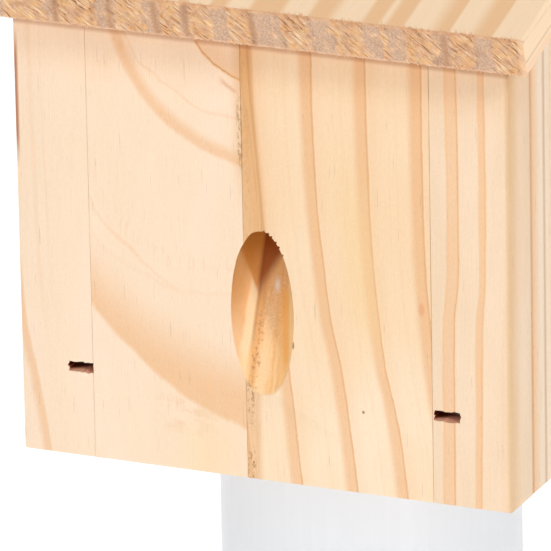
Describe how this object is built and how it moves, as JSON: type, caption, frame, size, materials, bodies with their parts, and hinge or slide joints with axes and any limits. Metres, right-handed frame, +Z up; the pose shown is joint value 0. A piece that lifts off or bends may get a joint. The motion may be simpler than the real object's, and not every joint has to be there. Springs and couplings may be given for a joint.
{
  "type": "bird feeder on pole",
  "caption": "Pine seed box with a slanted seed port in its front and a hinged lean-to roof, on a thick white plastic pipe that stands on a round weighted base.",
  "frame": {"origin": "on the ground, on the pipe's axis, at the centre of the round base", "axes": "+Z up along the pipe; -Y towards the front, where the seed port is; +X to the right as seen from the front"},
  "size_m": [0.34, 0.34, 0.8977],
  "materials": {
    "planed_pine": "planed and edge-glued, unfinished",
    "sawn_pine": "planed faces, rough sawn ends, unfinished",
    "plywood": "sanded, unfinished",
    "zinc_plated_steel": "bright zinc plate",
    "brass": "satin",
    "white_plastic_pipe": "extruded, soft gloss",
    "grey_plastic": "matt",
    "white_powder_coat": "fine-textured powder coat",
    "black_rubber": "matt"
  },
  "bodies": {
    "stand": {"back_hinge_screw_1": "zinc_plated_steel", "back_hinge_screw_2": "zinc_plated_steel", "back_hinge_screw_3": "zinc_plated_steel", "back_hinge_screw_4": "zinc_plated_steel", "back_left_staple": "zinc_plated_steel", "back_panel": "planed_pine", "back_right_staple": "zinc_plated_steel", "base_plate": "white_powder_coat", "floor_board": "planed_pine", "floor_screw_1": "zinc_plated_steel", "floor_screw_2": "zinc_plated_steel", "floor_screw_3": "zinc_plated_steel", "floor_screw_4": "zinc_plated_steel", "foot_1": "black_rubber", "foot_2": "black_rubber", "foot_3": "black_rubber", "foot_4": "black_rubber", "front_left_staple": "zinc_plated_steel", "front_panel": "planed_pine", "front_right_staple": "zinc_plated_steel", "left_hinge_fixed_leaf": "zinc_plated_steel", "left_hinge_pin": "zinc_plated_steel", "left_hook_screw": "brass", "left_hook_spacer": "brass", "left_ramp_cleat": "planed_pine", "left_side": "planed_pine", "plug_screw_1": "zinc_plated_steel", "plug_screw_2": "zinc_plated_steel", "plug_screw_3": "zinc_plated_steel", "post_plug": "grey_plastic", "post_tube": "white_plastic_pipe", "right_hinge_fixed_leaf": "zinc_plated_steel", "right_hinge_pin": "zinc_plated_steel", "right_hook_screw": "brass", "right_hook_spacer": "brass", "right_ramp_cleat": "planed_pine", "right_side": "planed_pine", "seed_ramp": "plywood", "set_screw_1": "zinc_plated_steel", "set_screw_2": "zinc_plated_steel", "set_screw_3": "zinc_plated_steel", "socket_collar": "white_powder_coat"},
    "roof": {"left_hinge_roof_leaf": "zinc_plated_steel", "left_roof_peg": "brass", "right_hinge_roof_leaf": "zinc_plated_steel", "right_roof_peg": "brass", "roof_board": "sawn_pine", "roof_hinge_screw_1": "zinc_plated_steel", "roof_hinge_screw_2": "zinc_plated_steel", "roof_hinge_screw_3": "zinc_plated_steel", "roof_hinge_screw_4": "zinc_plated_steel"},
    "left_swing_hook": {"left_hook": "brass"},
    "right_swing_hook": {"right_hook": "brass"}
  },
  "joints": [
    {"name": "roof_hinge", "type": "hinge", "parent": "stand", "child": "roof", "pos_m": [0, 0.0798, 0.88528], "axis": [-1, 0, 0], "range_deg": [0, 160]},
    {"name": "left_hook_pivot", "type": "hinge", "parent": "stand", "child": "left_swing_hook", "pos_m": [-0.08855, -0.00094, 0.841], "axis": [1, 0, 0], "range_deg": [-110, 160]},
    {"name": "right_hook_pivot", "type": "hinge", "parent": "stand", "child": "right_swing_hook", "pos_m": [0.08855, -0.00094, 0.841], "axis": [1, 0, 0], "range_deg": [-110, 160]}
  ]
}
